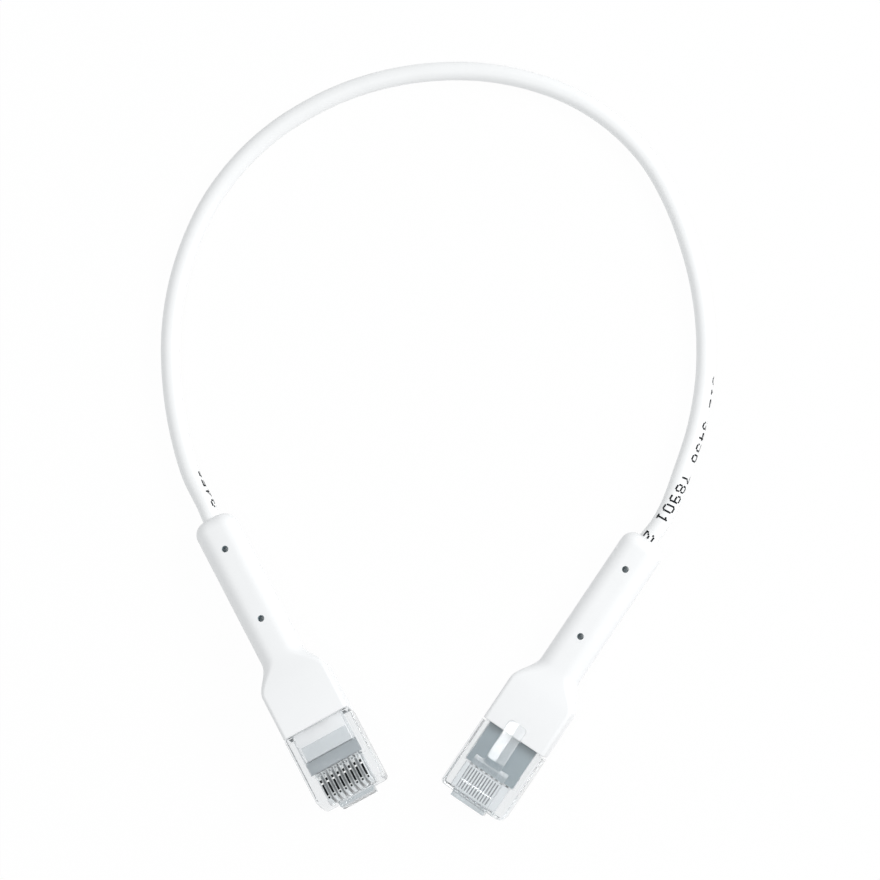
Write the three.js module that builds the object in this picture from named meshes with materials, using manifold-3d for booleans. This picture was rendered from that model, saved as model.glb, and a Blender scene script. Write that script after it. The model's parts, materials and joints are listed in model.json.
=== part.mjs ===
// Slim ethernet patch cable: two clear eight-contact plugs, each in a white overmoulded boot, on one thin cord.
// Millimetres, +Z up. The cable lies on the plane z = 0, its plugs at the front and its loop towards +Y.
// Plug a lies with its contacts up and its latch beneath it, plug b with its contacts down and its latch on top.
// A plug's own frame has x towards its nose from the boot's front face, +z on its contact side and y across it.
import * as THREE from "three";
import { mergeVertices } from "three/addons/utils/BufferGeometryUtils.js";
import Module from "manifold-3d";

// ---- Driving dimensions ----

// Clear housing
const PLUG_WIDTH = 11.68;
const PLUG_HEIGHT = 6.6;
const BODY_LENGTH = 12.2;
const EDGE_BEVEL = 0.35;
const FRONT_BEVEL_LENGTH = 0.45;
const FRONT_BEVEL_HEIGHT = 2.3;
const FRONT_CORNER = 0.6;
const NOSE_LENGTH = 0.75;
const NOSE_WIDTH = 6.2;
const NOSE_HEIGHT = 2;
const SIDE_WALL = 1.24;
const LATCH_SIDE_WALL = 0.9;
const CONTACT_SIDE_WALL = 1.4;
const TANG_LENGTH = 7.4;
const TANG_ROOT = 0.5;
const TANG_WALL = 0.5;

// Crimp window and its strain-relief tongue, on the contact side
const WINDOW_START = -0.9;
const WINDOW_LENGTH = 5.65;
const WINDOW_WIDTH = 8.6;
const TONGUE_LENGTH = 2.6;
const TONGUE_THICKNESS = 0.6;
const TONGUE_DROP = 0.35;

// Contacts and their slots
const CONTACT_COUNT = 8;
const CONTACT_PITCH = 1.02;
const CONTACT_THICKNESS = 0.3;
const CONTACT_LENGTH = 3.9;
const CONTACT_RECESS = 0.65;
const CROWN_BEVEL = 0.7;
const TINE_WIDTH = 0.5;
const TINE_LENGTH = 0.45;
const SLOT_WIDTH = 0.5;
const SLOT_LENGTH = 4.4;
const FRONT_WALL = 0.6;

// Wires and what guides them
const WIRE_DIAMETER = 0.5;
const WIRE_ROW_Z = -0.7;
const WIRE_END_GAP = 0.2;
const FAN_START_X = -0.9;
const CARRIER_START = -0.9;
const CARRIER_FLOOR = 0.5;
const CARRIER_BLOCK_LENGTH = 2;
const CARRIER_CHANNEL = 0.74;
const LOAD_BAR_LENGTH = 4.4;
const LOAD_BAR_GROOVE = 0.62;
const LOAD_BAR_END_WALL = 0.25;
const LOAD_BAR_RIB = 0.4;
const LOAD_BAR_RELIEF = 0.6;

// Inner mould round the jacket's end
const MOULD_WALL = 0.4;
const MOULD_FLANGE_LENGTH = 2.9;
const MOULD_FLANGE_REAR_WIDTH = 6;
const MOULD_FLANGE_HEIGHT = 4.2;

// Boot
const BOOT_LENGTH = 38.5;
const BOOT_HEAD_LENGTH = 7.9;
const BOOT_HEAD_WIDTH = 11.6;
const BOOT_HEAD_HEIGHT = 6.8;
const BOOT_HEAD_CORNER = 0.7;
const BOOT_FLARE_LENGTH = 5.4;
const BOOT_NECK_WIDTH = 7.2;
const BOOT_NECK_HEIGHT = 6.4;
const BOOT_NECK_CORNER = 2.6;
const BOOT_END_ROUND = 2.2;
const PIN_HOLE_DIAMETER = 1.1;
const PIN_HOLE_START = 19.6;
const PIN_HOLE_SPACING = 12.9;

// Latch
const LATCH_WIDTH = 6.2;
const LATCH_ROOT_THICKNESS = 1;
const LATCH_CATCH_LENGTH = 7.7;
const LATCH_SHOULDER_THICKNESS = 1.5;
const LEVER_WIDTH = 3.3;
const LEVER_THICKNESS = 0.9;
const LEVER_OVERHANG = 2.55;
const LEVER_TIP_CORNER = 0.6;
const LATCH_TIP_LIFT = 2.3;

// Cord
const CORD_DIAMETER = 3;
const JACKET_WALL = 0.3;
const JACKET_END_X = -1.3;
const BUNDLE_RADIUS = 0.7;
const BUNDLE_TURNS = 2;
const CORD_SIDES = 8;
const WIRE_SIDES = 5;
const LOOP_STEPS = 33;

// Clearances: between touching pieces, and between a piece and the pocket that holds it
const TOUCH_GAP = 0.3;
const POCKET_GAP = 0.15;

// Where the plugs lie: the middle of each boot's front face, and the heading of each nose in degrees from +X
const PLUG_A_X = -17.06;
const PLUG_A_Y = -9.86;
const PLUG_A_HEADING = -61.7;
const PLUG_B_X = 13.91;
const PLUG_B_Y = -11.74;
const PLUG_B_HEADING = -124.1;

// The free cord's centreline between the two boots, chosen by hand: down to the floor, round and up again
const ROUTE = [
  [-36.5, 26.7, 2.9],
  [-38.8, 31.2, 2.3],
  [-41, 38.6, 1.7],
  [-42.2, 46.4, 1.5],
  [-42.4, 54.1, 1.5],
  [-41.4, 61.7, 1.5],
  [-39.2, 69, 1.5],
  [-35.9, 75.8, 1.5],
  [-31.4, 81.8, 1.5],
  [-25.9, 86.9, 1.5],
  [-19.6, 90.9, 1.5],
  [-12.8, 93.9, 1.5],
  [-5.6, 95.8, 1.5],
  [1.8, 96.6, 1.5],
  [9.3, 96.3, 1.5],
  [16.8, 94.7, 1.5],
  [23.9, 91.8, 1.5],
  [30.3, 87.4, 1.5],
  [35.6, 81.7, 1.5],
  [39.4, 75, 1.5],
  [42.1, 67.8, 1.5],
  [43.9, 60.5, 1.5],
  [44.7, 53.1, 1.5],
  [44.5, 45.6, 1.5],
  [43.2, 38.1, 1.7],
  [40.9, 30.8, 2.4],
  [39.1, 25.8, 3],
  [37.35, 22.5, 3.3],
];

// ---- Sizes worked out from them ----

const FLOOR_Z = -PLUG_HEIGHT / 2 + LATCH_SIDE_WALL;
const ROOF_Z = PLUG_HEIGHT / 2 - CONTACT_SIDE_WALL;
const CAVITY_MID_Z = (FLOOR_Z + ROOF_Z) / 2;
const CAVITY_HALF_WIDTH = PLUG_WIDTH / 2 - SIDE_WALL;
const TANG_HALF_WIDTH = CAVITY_HALF_WIDTH + TANG_WALL;
const TANG_HALF_HEIGHT = (ROOF_Z - FLOOR_Z) / 2 + TANG_WALL;
const ROW_HALF_WIDTH = ((CONTACT_COUNT - 1) * CONTACT_PITCH) / 2;
const CHANNEL_TOP_Z = WIRE_ROW_Z + WIRE_DIAMETER / 2 + POCKET_GAP;
const SLOT_END = BODY_LENGTH - FRONT_WALL;
const SLOT_START = SLOT_END - SLOT_LENGTH;
const CAVITY_LENGTH = SLOT_START - TOUCH_GAP;
const CONTACT_START = SLOT_START + (SLOT_LENGTH - CONTACT_LENGTH) / 2;
const BOOT_FRONT_X = -TOUCH_GAP;
const CORD_RADIUS = CORD_DIAMETER / 2;
const JACKET_BORE_RADIUS = CORD_RADIUS - JACKET_WALL;
const CORD_HOLE_RADIUS = CORD_RADIUS + POCKET_GAP;
const LATCH_TOP_Z = -PLUG_HEIGHT / 2 - TOUCH_GAP;
const LATCH_END_X = BODY_LENGTH + NOSE_LENGTH - TOUCH_GAP / 3;
const LATCH_LENGTH = LATCH_END_X + LEVER_OVERHANG;
const LATCH_SHOULDER_X = LATCH_END_X - LATCH_CATCH_LENGTH;
const POCKET_HALF_WIDTH = CAVITY_HALF_WIDTH - POCKET_GAP;
const POCKET_FLOOR_Z = FLOOR_Z + POCKET_GAP;
const CARRIER_END = CAVITY_LENGTH - POCKET_GAP;
const CARRIER_BLOCK_START = CARRIER_END - CARRIER_BLOCK_LENGTH;
const CARRIER_FLOOR_TOP_Z = POCKET_FLOOR_Z + CARRIER_FLOOR;
const FAN_END_X = CARRIER_BLOCK_START - TOUCH_GAP;
const LOAD_BAR_END = SLOT_END - POCKET_GAP;
const WIRE_END_X = LOAD_BAR_END - LOAD_BAR_END_WALL - WIRE_END_GAP;

// ---- Closed shapes ----

const wasm = await Module();
wasm.setup();

// A closed geometry as a solid that can be cut and joined.
function toSolid(geometry) {
  const bare = new THREE.BufferGeometry();
  const loose = geometry.index ? geometry.toNonIndexed() : geometry;
  bare.setAttribute("position", loose.getAttribute("position"));
  const merged = mergeVertices(bare, 1e-5);
  return new wasm.Manifold(
    new wasm.Mesh({
      numProp: 3,
      vertProperties: merged.attributes.position.array,
      triVerts: new Uint32Array(merged.index.array),
    }),
  );
}

// A solid as a geometry for a mesh.
function toGeometry(solid) {
  const made = solid.getMesh();
  const geometry = new THREE.BufferGeometry();
  geometry.setAttribute(
    "position",
    new THREE.BufferAttribute(new Float32Array(made.vertProperties), 3),
  );
  geometry.setIndex(new THREE.BufferAttribute(new Uint32Array(made.triVerts), 1));
  const faceted = geometry.toNonIndexed();
  faceted.computeVertexNormals();
  return faceted;
}

// A block between two values on each axis.
function block([x0, x1], [y0, y1], [z0, z1]) {
  const box = new THREE.BoxGeometry(x1 - x0, y1 - y0, z1 - z0);
  return toSolid(box.translate((x0 + x1) / 2, (y0 + y1) / 2, (z0 + z1) / 2));
}

function shapeOf(points) {
  return new THREE.Shape(points.map(([a, b]) => new THREE.Vector2(a, b)));
}

// An outline in x and z, extruded across the plug to both sides of its middle.
function sideProfile(points, halfWidth, middle = 0) {
  const slab = new THREE.ExtrudeGeometry(shapeOf(points), { depth: 2 * halfWidth, bevelEnabled: false });
  return toSolid(slab.rotateX(Math.PI / 2).translate(0, middle + halfWidth, 0));
}

// An outline in x and y, extruded up between two heights.
function planProfile(points, z0, z1) {
  const slab = new THREE.ExtrudeGeometry(shapeOf(points), { depth: z1 - z0, bevelEnabled: false });
  return toSolid(slab.translate(0, 0, z0));
}

// A round hole's plug along the x axis, with flats that stay outside its radius.
function rod(radius, x0, x1) {
  const sides = 16;
  const outer = radius / Math.cos(Math.PI / sides);
  const cylinder = new THREE.CylinderGeometry(outer, outer, x1 - x0, sides);
  return toSolid(cylinder.rotateZ(Math.PI / 2).translate((x0 + x1) / 2, 0, 0));
}

// The same, upright through the plug at one x.
function uprightRod(radius, x, height) {
  const cylinder = new THREE.CylinderGeometry(radius, radius, height, 12);
  return toSolid(cylinder.rotateX(Math.PI / 2).translate(x, 0, 0));
}

// A rectangle with round corners in y and z at one x, counterclockwise seen from the nose.
function roundedRing(x, halfWidth, halfHeight, corner) {
  const cornerSteps = 4;
  const ring = [];
  for (let quarter = 0; quarter < 4; quarter++) {
    const signY = quarter === 0 || quarter === 3 ? 1 : -1;
    const signZ = quarter < 2 ? 1 : -1;
    for (let step = 0; step <= cornerSteps; step++) {
      const angle = ((quarter + step / cornerSteps) * Math.PI) / 2;
      const y = signY * (halfWidth - corner) + corner * Math.cos(angle);
      const z = signZ * (halfHeight - corner) + corner * Math.sin(angle);
      ring.push([x, y, z]);
    }
  }
  return ring;
}

// A closed skin over rings that follow each other along x, capped at both ends.
function loft(rings) {
  const count = rings[0].length;
  const positions = [];
  const face = (...corners) => corners.forEach((corner) => positions.push(...corner));
  for (let i = 0; i + 1 < rings.length; i++) {
    for (let j = 0; j < count; j++) {
      const k = (j + 1) % count;
      face(rings[i][j], rings[i][k], rings[i + 1][j]);
      face(rings[i][k], rings[i + 1][k], rings[i + 1][j]);
    }
  }
  const first = rings[0];
  const last = rings.at(-1);
  for (let j = 1; j + 1 < count; j++) {
    face(first[0], first[j + 1], first[j]);
    face(last[0], last[j], last[j + 1]);
  }
  const geometry = new THREE.BufferGeometry();
  geometry.setAttribute("position", new THREE.Float32BufferAttribute(positions, 3));
  return toSolid(geometry);
}

// The y of each contact, slot and wire; number 1 is on the left with the contacts up and the nose away.
function rowPlaces() {
  return Array.from({ length: CONTACT_COUNT }, (_, i) => ROW_HALF_WIDTH - i * CONTACT_PITCH);
}

// ---- The plug's pieces, in the plug's own frame ----

// Clear housing: hollow from behind, slotted for the contacts, with a window over the cord's end.
function housing() {
  const halfHeight = PLUG_HEIGHT / 2;
  const halfWidth = PLUG_WIDTH / 2;
  const side = sideProfile(
    [
      [0, -halfHeight],
      [BODY_LENGTH, -halfHeight],
      [BODY_LENGTH, halfHeight - FRONT_BEVEL_HEIGHT],
      [BODY_LENGTH - FRONT_BEVEL_LENGTH, halfHeight],
      [0, halfHeight],
    ],
    halfWidth,
  );
  const section = [0, BODY_LENGTH].map((x) => bevelledRing(x, halfWidth, halfHeight, EDGE_BEVEL));
  const plan = planProfile(
    [
      [0, -halfWidth],
      [BODY_LENGTH - FRONT_CORNER, -halfWidth],
      [BODY_LENGTH, -halfWidth + FRONT_CORNER],
      [BODY_LENGTH, halfWidth - FRONT_CORNER],
      [BODY_LENGTH - FRONT_CORNER, halfWidth],
      [0, halfWidth],
    ],
    -halfHeight,
    halfHeight,
  );
  const middleZ = CAVITY_MID_Z;
  const tang = block(
    [-TANG_LENGTH, TANG_ROOT],
    [-TANG_HALF_WIDTH, TANG_HALF_WIDTH],
    [middleZ - TANG_HALF_HEIGHT, middleZ + TANG_HALF_HEIGHT],
  );
  const nose = block(
    [SLOT_END, BODY_LENGTH + NOSE_LENGTH],
    [-NOSE_WIDTH / 2, NOSE_WIDTH / 2],
    [-halfHeight, -halfHeight + NOSE_HEIGHT],
  );
  const cavity = block(
    [-TANG_LENGTH - 1, CAVITY_LENGTH],
    [-CAVITY_HALF_WIDTH, CAVITY_HALF_WIDTH],
    [FLOOR_Z, ROOF_Z],
  );
  const wireChannel = block(
    [CAVITY_LENGTH - 1, SLOT_END],
    [-ROW_HALF_WIDTH - CONTACT_PITCH / 2 - POCKET_GAP, ROW_HALF_WIDTH + CONTACT_PITCH / 2 + POCKET_GAP],
    [FLOOR_Z, CHANNEL_TOP_Z],
  );
  const window = block(
    [WINDOW_START, WINDOW_START + WINDOW_LENGTH],
    [-WINDOW_WIDTH / 2, WINDOW_WIDTH / 2],
    [ROOF_Z - POCKET_GAP, halfHeight + 1],
  );
  let made = side.intersect(loft(section)).intersect(plan).add(tang).add(nose);
  made = made.subtract(cavity).subtract(wireChannel).subtract(window);
  for (const y of rowPlaces()) {
    made = made.subtract(
      block(
        [SLOT_START, SLOT_END],
        [y - SLOT_WIDTH / 2, y + SLOT_WIDTH / 2],
        [CHANNEL_TOP_Z - POCKET_GAP, halfHeight + 1],
      ),
    );
  }
  return made.add(strainReliefTongue());
}

// A rectangle with cut corners in y and z at one x.
function bevelledRing(x, halfWidth, halfHeight, bevel) {
  const ring = [];
  for (const [signY, signZ] of [[1, 1], [-1, 1], [-1, -1], [1, -1]]) {
    const alongY = [x, signY * (halfWidth - bevel), signZ * halfHeight];
    const alongZ = [x, signY * halfWidth, signZ * (halfHeight - bevel)];
    ring.push(...(signY * signZ > 0 ? [alongZ, alongY] : [alongY, alongZ]));
  }
  return ring;
}

// The tongue that the crimp pushes down on the cord's mould, hinged on the window's front edge.
function strainReliefTongue() {
  const hinge = WINDOW_START + WINDOW_LENGTH;
  const top = ROOF_Z + TONGUE_THICKNESS + TONGUE_DROP;
  return sideProfile(
    [
      [hinge + TOUCH_GAP, top - TONGUE_THICKNESS],
      [hinge + TOUCH_GAP, top],
      [hinge - TONGUE_LENGTH, top - TONGUE_DROP],
      [hinge - TONGUE_LENGTH, top - TONGUE_DROP - TONGUE_THICKNESS],
    ],
    WINDOW_WIDTH / 2 - TOUCH_GAP,
  );
}

// Latch at rest: a wide root with the catch shoulders, and a narrow lever that rises away from the housing.
function latch() {
  const slope = LATCH_TIP_LIFT / LATCH_LENGTH;
  const topAt = (x) => LATCH_TOP_Z - (LATCH_END_X - x) * slope;
  const tipX = -LEVER_OVERHANG;
  const root = sideProfile(
    [
      [LATCH_SHOULDER_X, topAt(LATCH_SHOULDER_X)],
      [LATCH_SHOULDER_X, topAt(LATCH_SHOULDER_X) - LATCH_SHOULDER_THICKNESS],
      [LATCH_END_X, topAt(LATCH_END_X) - LATCH_ROOT_THICKNESS],
      [LATCH_END_X, topAt(LATCH_END_X)],
    ],
    LATCH_WIDTH / 2,
  );
  const leverFront = LATCH_SHOULDER_X + LEVER_THICKNESS;
  const lever = sideProfile(
    [
      [tipX, topAt(tipX)],
      [tipX, topAt(tipX) - LEVER_THICKNESS],
      [leverFront, topAt(leverFront) - LEVER_THICKNESS],
      [leverFront, topAt(leverFront)],
    ],
    LEVER_WIDTH / 2,
  );
  const halfLever = LEVER_WIDTH / 2;
  const plan = planProfile(
    [
      [tipX, -halfLever + LEVER_TIP_CORNER],
      [tipX + LEVER_TIP_CORNER, -halfLever],
      [leverFront, -halfLever],
      [leverFront, halfLever],
      [tipX + LEVER_TIP_CORNER, halfLever],
      [tipX, halfLever - LEVER_TIP_CORNER],
    ],
    -2 * PLUG_HEIGHT,
    0,
  );
  return root.add(lever.intersect(plan));
}

// Grey carrier: a floor under the cord's end, and a block whose eight channels set the wires side by side.
function wireCarrier() {
  const width = [-POCKET_HALF_WIDTH, POCKET_HALF_WIDTH];
  let made = block([CARRIER_START, CARRIER_END], width, [POCKET_FLOOR_Z, CARRIER_FLOOR_TOP_Z]).add(
    block([CARRIER_BLOCK_START, CARRIER_END], width, [POCKET_FLOOR_Z, ROOF_Z - POCKET_GAP]),
  );
  for (const y of rowPlaces()) {
    made = made.subtract(
      block(
        [CARRIER_BLOCK_START - 1, CARRIER_END + 1],
        [y - CARRIER_CHANNEL / 2, y + CARRIER_CHANNEL / 2],
        [WIRE_ROW_Z - CARRIER_CHANNEL / 2, WIRE_ROW_Z + CARRIER_CHANNEL / 2],
      ),
    );
  }
  return made;
}

// White load bar: eight grooves hold the wires' ends below the contacts, over a ribbed underside.
function loadBar() {
  const end = LOAD_BAR_END;
  const start = end - LOAD_BAR_LENGTH;
  const halfWidth = ROW_HALF_WIDTH + CONTACT_PITCH / 2;
  const middle = (start + end) / 2;
  const grooveFloor = WIRE_ROW_Z - WIRE_DIAMETER / 2 - POCKET_GAP;
  const reliefRuns = [
    [start + LOAD_BAR_END_WALL, middle - LOAD_BAR_RIB / 2],
    [middle + LOAD_BAR_RIB / 2, end - LOAD_BAR_END_WALL],
  ];
  let made = block([start, end], [-halfWidth, halfWidth], [POCKET_FLOOR_Z, CHANNEL_TOP_Z - POCKET_GAP]);
  for (const y of rowPlaces()) {
    const groove = [y - LOAD_BAR_GROOVE / 2, y + LOAD_BAR_GROOVE / 2];
    made = made.subtract(block([start - 1, end - LOAD_BAR_END_WALL], groove, [grooveFloor, 0]));
    for (const run of reliefRuns) {
      made = made.subtract(block(run, groove, [POCKET_FLOOR_Z - 1, POCKET_FLOOR_Z + LOAD_BAR_RELIEF]));
    }
  }
  return made;
}

// One contact blade: a bevelled crown below the slot's mouth and two tines over its wire.
function contact(y) {
  const bottom = WIRE_ROW_Z + WIRE_DIAMETER / 2 + POCKET_GAP / 2;
  const body = bottom + TINE_LENGTH;
  const crown = PLUG_HEIGHT / 2 - CONTACT_RECESS;
  const start = CONTACT_START;
  const end = CONTACT_START + CONTACT_LENGTH;
  const tine = (x) => [
    [x - TINE_WIDTH / 2, body],
    [x - TINE_WIDTH / 2, bottom],
    [x + TINE_WIDTH / 2, bottom],
    [x + TINE_WIDTH / 2, body],
  ];
  return sideProfile(
    [
      [start, body],
      ...tine(start + CONTACT_LENGTH / 4),
      ...tine(end - CONTACT_LENGTH / 4),
      [end, body],
      [end, crown - CROWN_BEVEL],
      [end - CROWN_BEVEL, crown],
      [start + CROWN_BEVEL, crown],
      [start, crown - CROWN_BEVEL],
    ],
    CONTACT_THICKNESS / 2,
    y,
  );
}

// The inner mould's flange behind the housing, grown by a margin for the pocket that holds it.
function mouldFlange(margin) {
  const front = -TANG_LENGTH - TOUCH_GAP + margin;
  const rear = -TANG_LENGTH - TOUCH_GAP - MOULD_FLANGE_LENGTH - margin;
  const frontHalf = POCKET_HALF_WIDTH + margin;
  const rearHalf = MOULD_FLANGE_REAR_WIDTH / 2 + margin;
  const halfHeight = MOULD_FLANGE_HEIGHT / 2 + margin;
  return planProfile(
    [
      [front, -frontHalf],
      [front, frontHalf],
      [rear, rearHalf],
      [rear, -rearHalf],
    ].reverse(),
    -halfHeight,
    halfHeight,
  );
}

// White inner mould: grips the jacket's end, fills the housing's rear and lets the wires fan out inside it.
function innerMould() {
  const fanHalfHeight = BUNDLE_RADIUS + WIRE_DIAMETER / 2 + TOUCH_GAP;
  const bottom = CARRIER_FLOOR_TOP_Z + POCKET_GAP;
  const top = fanHalfHeight + MOULD_WALL;
  const front = FAN_END_X;
  const fanFrontHalf = ROW_HALF_WIDTH + WIRE_DIAMETER / 2 + POCKET_GAP;
  const fanRearHalf = BUNDLE_RADIUS + WIRE_DIAMETER / 2 + TOUCH_GAP;
  const rear = -TANG_LENGTH - TOUCH_GAP - POCKET_GAP;
  const body = block([rear, front], [-POCKET_HALF_WIDTH, POCKET_HALF_WIDTH], [bottom, top]);
  const fan = planProfile(
    [
      [JACKET_END_X, -fanRearHalf],
      [front, -fanFrontHalf],
      [front + 1, -fanFrontHalf],
      [front + 1, fanFrontHalf],
      [front, fanFrontHalf],
      [JACKET_END_X, fanRearHalf],
    ],
    -fanHalfHeight,
    fanHalfHeight,
  );
  const hole = rod(CORD_HOLE_RADIUS, -BOOT_LENGTH, JACKET_END_X + POCKET_GAP);
  return body.add(mouldFlange(0)).subtract(fan).subtract(hole);
}

// White boot: a head flush with the housing, a flare, and a round-ended neck with two pairs of pin holes.
function boot() {
  const headHalf = [BOOT_HEAD_WIDTH / 2, BOOT_HEAD_HEIGHT / 2, BOOT_HEAD_CORNER];
  const neckHalf = [BOOT_NECK_WIDTH / 2, BOOT_NECK_HEIGHT / 2, BOOT_NECK_CORNER];
  const rings = [];
  const endSteps = 3;
  for (let step = 0; step < endSteps; step++) {
    const angle = ((step + 0.5) / endSteps) * (Math.PI / 2);
    const inset = BOOT_END_ROUND * (1 - Math.sin(angle));
    const x = -BOOT_LENGTH + BOOT_END_ROUND * (1 - Math.cos(angle));
    const [halfWidth, halfHeight, corner] = neckHalf.map((size) => size - inset);
    rings.push(roundedRing(x, halfWidth, halfHeight, corner));
  }
  rings.push(roundedRing(-BOOT_LENGTH + BOOT_END_ROUND, ...neckHalf));
  const flareSteps = 4;
  const flareEnd = -BOOT_HEAD_LENGTH - BOOT_FLARE_LENGTH;
  for (let step = 0; step <= flareSteps; step++) {
    const share = step / flareSteps;
    const ease = THREE.MathUtils.smoothstep(share, 0, 1);
    const sizes = neckHalf.map((size, i) => THREE.MathUtils.lerp(size, headHalf[i], ease));
    rings.push(roundedRing(flareEnd + share * BOOT_FLARE_LENGTH, ...sizes));
  }
  rings.push(roundedRing(BOOT_FRONT_X, ...headHalf));
  const tangPocket = block(
    [-TANG_LENGTH - TOUCH_GAP, 1],
    [-TANG_HALF_WIDTH - POCKET_GAP, TANG_HALF_WIDTH + POCKET_GAP],
    [CAVITY_MID_Z - TANG_HALF_HEIGHT - POCKET_GAP, CAVITY_MID_Z + TANG_HALF_HEIGHT + POCKET_GAP],
  );
  let made = loft(rings).subtract(tangPocket).subtract(mouldFlange(POCKET_GAP));
  made = made.subtract(rod(CORD_HOLE_RADIUS, -BOOT_LENGTH - 1, -TANG_LENGTH));
  for (const x of [-PIN_HOLE_START, -PIN_HOLE_START - PIN_HOLE_SPACING]) {
    made = made.subtract(uprightRod(PIN_HOLE_DIAMETER / 2, x, 2 * BOOT_NECK_HEIGHT));
  }
  return made;
}

// ---- Finishes ----

function finish(color, roughness, metalness = 0, opacity = 1) {
  return new THREE.MeshStandardMaterial({
    color,
    roughness,
    metalness,
    opacity,
    transparent: opacity < 1,
  });
}

const CLEAR = finish(0xdfe6ea, 0.15, 0, 0.4);
const WHITE_VINYL = finish(0xf2f3f5, 0.45);
const WHITE_MOULD = finish(0xe6e9ec, 0.5);
const SLATE = finish(0x7f8a91, 0.4);
const COMB_WHITE = finish(0xe9edf0, 0.35);
const CONTACT_METAL = finish(0x4b4f52, 0.3, 0.9);
const INSULATION = finish(0xdcdfe2, 0.5);

function piece(name, solid, material) {
  const made = new THREE.Mesh(toGeometry(solid), material);
  made.name = name;
  return made;
}

// ---- The plugs where they lie ----

function plug(end) {
  const group = new THREE.Group();
  group.name = `plug_${end}`;
  group.add(piece(`plug_housing_${end}`, housing(), CLEAR));
  group.add(piece(`latch_${end}`, latch(), CLEAR));
  group.add(piece(`wire_carrier_${end}`, wireCarrier(), SLATE));
  group.add(piece(`load_bar_${end}`, loadBar(), COMB_WHITE));
  rowPlaces().forEach((y, i) => {
    group.add(piece(`contact_${end}_${i + 1}`, contact(y), CONTACT_METAL));
  });
  group.add(piece(`inner_mould_${end}`, innerMould(), WHITE_MOULD));
  group.add(piece(`boot_${end}`, boot(), WHITE_VINYL));
  return group;
}

// Plug a stands on its latch's tip and the underside of its boot's neck, which pitches its nose up.
const tipDrop = -LATCH_TOP_Z + LATCH_TIP_LIFT + LEVER_THICKNESS;
const neckDrop = BOOT_NECK_HEIGHT / 2;
const neckRear = BOOT_LENGTH - BOOT_END_ROUND;
const pitch = Math.atan((tipDrop - neckDrop) / (neckRear - LEVER_OVERHANG));
const plugA = plug("a");
plugA.position.set(PLUG_A_X, PLUG_A_Y, neckRear * Math.sin(pitch) + neckDrop * Math.cos(pitch));
plugA.rotation.set(0, -pitch, THREE.MathUtils.degToRad(PLUG_A_HEADING), "ZYX");
plugA.updateMatrix();

// Plug b is turned over and stands flat on the contact side of its boot's head.
const plugB = plug("b");
plugB.position.set(PLUG_B_X, PLUG_B_Y, Math.max(BOOT_HEAD_HEIGHT, PLUG_HEIGHT) / 2);
plugB.rotation.set(Math.PI, 0, THREE.MathUtils.degToRad(PLUG_B_HEADING), "ZYX");
plugB.updateMatrix();

const inPlug = (placed, x, y = 0, z = 0) => new THREE.Vector3(x, y, z).applyMatrix4(placed.matrix);

// ---- The cord ----

// A path whose rings lie exactly at the given points, each square to the mean of the runs that meet there.
class RingPath extends THREE.Curve {
  constructor(points) {
    super();
    this.points = points;
  }

  getPointAt(u, target = new THREE.Vector3()) {
    return target.copy(this.points[Math.round(u * (this.points.length - 1))]);
  }

  getTangentAt(u, target = new THREE.Vector3()) {
    const last = this.points.length - 1;
    const here = Math.round(u * last);
    const before = Math.max(here, 1);
    const after = Math.min(here, last - 1);
    const arriving = this.points[before].clone().sub(this.points[before - 1]).normalize();
    const leaving = this.points[after + 1].clone().sub(this.points[after]).normalize();
    return target.copy(arriving.add(leaving)).normalize();
  }
}

function tube(name, points, section, material) {
  const path = new RingPath(points);
  const options = { steps: points.length - 1, extrudePath: path, bevelEnabled: false };
  const made = new THREE.Mesh(new THREE.ExtrudeGeometry(section, options), material);
  made.name = name;
  return made;
}

// A round section as a polygon with a flat on each axis.
function polygon(radius, sides, Kind = THREE.Shape) {
  const corners = Array.from({ length: sides }, (_, i) => {
    const angle = ((i + 0.5) * 2 * Math.PI) / sides;
    return new THREE.Vector2(radius * Math.cos(angle), radius * Math.sin(angle));
  });
  return new Kind(corners);
}

const exitA = inPlug(plugA, -BOOT_LENGTH);
const exitB = inPlug(plugB, -BOOT_LENGTH);
const route = [exitA, ...ROUTE.map((point) => new THREE.Vector3(...point)), exitB];
const loopPoints = new THREE.CatmullRomCurve3(route, false, "centripetal").getSpacedPoints(LOOP_STEPS);
const jacketPoints = [inPlug(plugA, JACKET_END_X), ...loopPoints, inPlug(plugB, JACKET_END_X)];

function cableJacket() {
  const section = polygon(CORD_RADIUS, CORD_SIDES);
  section.holes.push(polygon(JACKET_BORE_RADIUS, CORD_SIDES, THREE.Path));
  return tube("cable_jacket", jacketPoints, section, WHITE_VINYL);
}

// Where each wire sits in the bundle, in the order of its contact: the polar radius and the angle from +y.
// Two wires that share a y lie above and below each other, so both ends of the cord fan out in order.
function bundlePlaces() {
  const outer = CONTACT_COUNT - 1;
  const spread = Array.from({ length: CONTACT_COUNT }, (_, i) => {
    if (i === outer) return { radius: 0, angle: 0 };
    const side = i % 2 ? -1 : 1;
    return { radius: BUNDLE_RADIUS, angle: (side * Math.ceil(i / 2) * 2 * Math.PI) / outer };
  });
  return spread.sort((p, q) => q.radius * Math.cos(q.angle) - p.radius * Math.cos(p.angle));
}

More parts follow.
